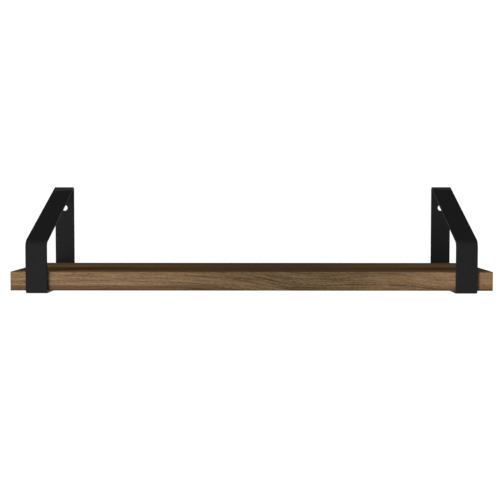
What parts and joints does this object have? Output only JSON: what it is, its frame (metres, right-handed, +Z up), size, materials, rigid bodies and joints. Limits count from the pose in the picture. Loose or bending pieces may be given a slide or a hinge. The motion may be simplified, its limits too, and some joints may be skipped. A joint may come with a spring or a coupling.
{
  "type": "wall shelf",
  "caption": "Straight walnut-faced board held in two bent flat-steel bracket loops that fix flat to a wall, with a plain round hole high in each back leg.",
  "frame": {"origin": "on the wall's surface, midway between the centres of the two wall holes", "axes": "+X along the shelf to the right as seen from the room, +Y into the wall, +Z up"},
  "size_m": [0.61, 0.191, 0.1394],
  "materials": {
    "walnut_facing": "satin walnut grain, running along the board",
    "chipboard": "raw particleboard, hidden",
    "bracket_coating": "fine-textured matt black powder coat",
    "screw_steel": "black-oxide steel"
  },
  "bodies": {
    "root": {"board_core": "chipboard", "top_veneer": "walnut_facing", "bottom_veneer": "walnut_facing", "front_edge_band": "walnut_facing", "back_edge_band": "walnut_facing", "left_end_band": "walnut_facing", "right_end_band": "walnut_facing", "left_bracket": "bracket_coating", "right_bracket": "bracket_coating", "left_back_screw": "screw_steel", "left_front_screw": "screw_steel", "right_back_screw": "screw_steel", "right_front_screw": "screw_steel"}
  },
  "joints": []
}
